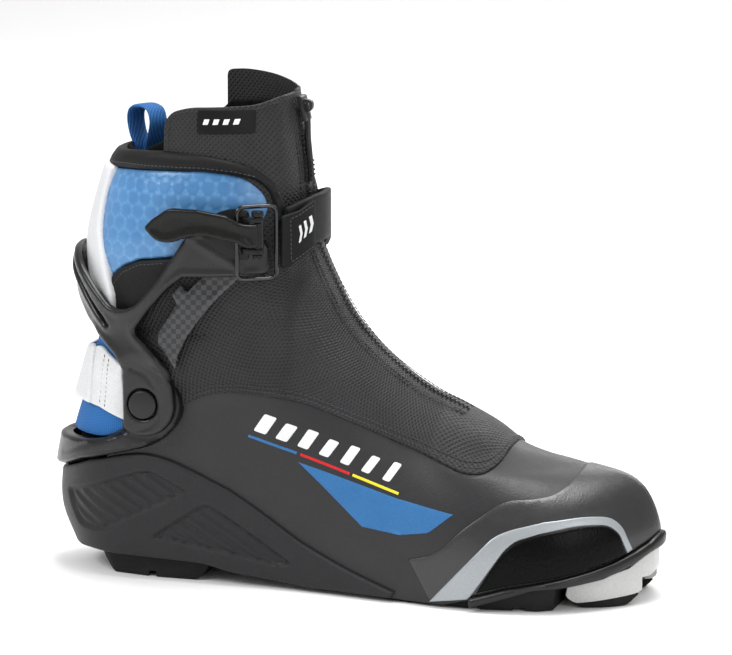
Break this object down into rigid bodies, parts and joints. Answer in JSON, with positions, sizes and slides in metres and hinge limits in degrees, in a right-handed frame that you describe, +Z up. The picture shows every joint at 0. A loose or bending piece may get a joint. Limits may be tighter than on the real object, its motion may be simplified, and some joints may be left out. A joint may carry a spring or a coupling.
{
  "type": "cross country ski boot",
  "caption": "Skating boot for cross-country skiing: soft foot shell on a ridged sole with a toe bar, and a stiff cuff that flexes at the ankle, closed by a zip and a lever buckle.",
  "frame": {"origin": "on the ground, under the ankle hinge, in the middle of the heel tread", "axes": "+X to the toe, +Y to the inner (medial) side of this right boot, +Z up"},
  "size_m": [0.3048, 0.1062, 0.2387],
  "materials": {
    "rubber": "matte",
    "shell": "soft matte",
    "gloss_black": "gloss",
    "frame_grey": "satin",
    "carbon": "woven, satin",
    "white_plastic": "satin",
    "silver": "satin",
    "steel": "bright",
    "black_steel": "satin black",
    "board": "fibre board",
    "fleece": "fleece",
    "gaiter": "coated weave",
    "blue_fabric": "stretch fabric",
    "blue_pad": "embossed",
    "white_leather": "synthetic",
    "black_leather": "synthetic",
    "cord": "braided"
  },
  "bodies": {
    "boot": {"sole_plate": "rubber", "heel_tread": "rubber", "forefoot_tread": "rubber", "toe_block": "white_plastic", "toe_bar": "steel", "toe_tip_rubber": "rubber", "toe_welt": "rubber", "heel_chassis": "shell", "upper_shell": "shell", "toe_overlay": "black_leather", "toe_trim_lateral": "silver", "toe_trim_medial": "silver", "toe_guard_lateral": "gloss_black", "toe_guard_medial": "gloss_black", "lasting_board": "board", "footbed": "fleece", "liner_lower": "fleece", "tongue": "fleece", "lace_cord": "cord", "lace_rail_lateral": "black_leather", "lace_rail_medial": "black_leather", "gaiter_lower": "gaiter", "heel_panel": "blue_fabric", "zip_coil_lower": "gloss_black", "heel_strap": "white_leather", "heel_yoke": "frame_grey", "hinge_pin_lateral": "gloss_black", "hinge_pin_medial": "gloss_black"},
    "cuff": {"cuff_frame": "frame_grey", "carbon_strut_lateral": "carbon", "carbon_strut_medial": "carbon", "cuff_pad": "blue_pad", "cuff_binding": "black_leather", "cuff_lower_pad_lateral": "black_leather", "cuff_lower_pad_medial": "black_leather", "cuff_spine": "white_leather", "gaiter_upper": "gaiter", "collar_label": "black_leather", "liner_upper": "fleece", "pull_tab": "blue_fabric", "zip_coil_upper": "gloss_black", "ankle_strap": "black_leather", "strap_rivet": "black_steel", "buckle_base": "black_steel", "lever_pin": "black_steel"},
    "lever": {"buckle_lever": "black_steel"},
    "ring": {"buckle_ring": "steel", "strap_tab": "black_leather"},
    "slider": {"zip_slider": "steel"},
    "puller": {"zip_puller": "black_leather"}
  },
  "joints": [
    {"name": "cuff_flex", "type": "hinge", "parent": "boot", "child": "cuff", "pos_m": [0, 0, 0.087], "axis": [0, 1, 0], "range_deg": [-6, 14]},
    {"name": "lever_open", "type": "hinge", "parent": "cuff", "child": "lever", "pos_m": [0.058, -0.0438, 0.172], "axis": [0, 0, 1], "range_deg": [0, 120]},
    {"name": "ring_slide", "type": "slide", "parent": "cuff", "child": "ring", "axis": [0.96, -0.28, 0], "range_m": [0, 0.008]},
    {"name": "zip_slide", "type": "slide", "parent": "cuff", "child": "slider", "axis": [0.13, 0, -0.9915], "range_m": [0, 0.024]},
    {"name": "puller_lift", "type": "hinge", "parent": "slider", "child": "puller", "pos_m": [0.0712, 0, 0.2275], "axis": [0, -1, 0], "range_deg": [0, 68.75]}
  ],
  "couplings": [
    {"joint": "ring_slide", "follows": "lever_open", "m_per_rad": 0.003819},
    {"joint": "zip_slide", "follows": "puller_lift", "m_per_rad": 0.02}
  ]
}
